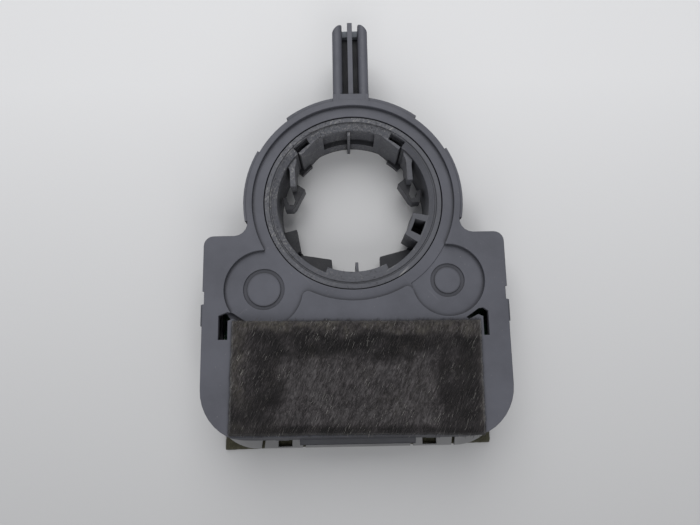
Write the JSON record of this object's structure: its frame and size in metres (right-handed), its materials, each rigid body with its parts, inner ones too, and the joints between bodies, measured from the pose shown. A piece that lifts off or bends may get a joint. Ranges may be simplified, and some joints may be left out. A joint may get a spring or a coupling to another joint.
{
  "type": "steering angle sensor",
  "caption": "Flat plastic steering angle sensor with a rotor ring round the column, an anti-rotation finger, felt pads and geared magnets inside.",
  "frame": {"origin": "on the rotor axis, in the plane that the sensor rests on", "axes": "+Z along the steering column towards the front face, +Y towards the anti-rotation finger, +X to the right seen from the front"},
  "size_m": [0.0936, 0.1376, 0.0208],
  "materials": {
    "case_plastic": "satin moulded, bluish grey",
    "rotor_plastic": "satin moulded, rubbed",
    "gear_plastic": "natural acetal",
    "magnet": "sintered, dull",
    "board": "solder mask",
    "chip": "moulded epoxy",
    "capacitor": "moulded",
    "tin_plate": "tinned",
    "felt": "worn needle felt",
    "rear_felt": "worn needle felt, olive"
  },
  "bodies": {
    "case": {"front_housing": "case_plastic", "rear_cover": "case_plastic", "circuit_board": "board", "left_field_sensor": "chip", "right_field_sensor": "chip", "controller_chip": "chip", "bus_transceiver": "chip", "voltage_regulator": "chip", "quartz_crystal": "tin_plate", "supply_capacitors": "capacitor", "chip_capacitors": "capacitor", "chip_resistors": "chip", "line_choke": "chip", "surge_diode": "chip", "pin_carrier": "chip", "connector_pins": "tin_plate", "front_felt_pad": "felt", "rear_felt_pad": "rear_felt"},
    "rotor": {"rotor": "rotor_plastic"},
    "left_gear": {"left_measuring_gear": "gear_plastic", "left_gear_magnet": "magnet"},
    "right_gear": {"right_measuring_gear": "gear_plastic", "right_gear_magnet": "magnet"}
  },
  "joints": [
    {"name": "rotor_spin", "type": "hinge", "parent": "case", "child": "rotor", "pos_m": [0, 0, 0.0117], "axis": [0, 0, 1], "continuous": true},
    {"name": "left_gear_spin", "type": "hinge", "parent": "case", "child": "left_gear", "pos_m": [-0.02767, -0.02748, 0.0117], "axis": [0, 0, 1], "continuous": true},
    {"name": "right_gear_spin", "type": "hinge", "parent": "case", "child": "right_gear", "pos_m": [0.02838, -0.02564, 0.0117], "axis": [0, 0, 1], "continuous": true}
  ],
  "couplings": [
    {"joint": "left_gear_spin", "follows": "rotor_spin", "ratio": -3},
    {"joint": "right_gear_spin", "follows": "rotor_spin", "ratio": -3.25}
  ]
}
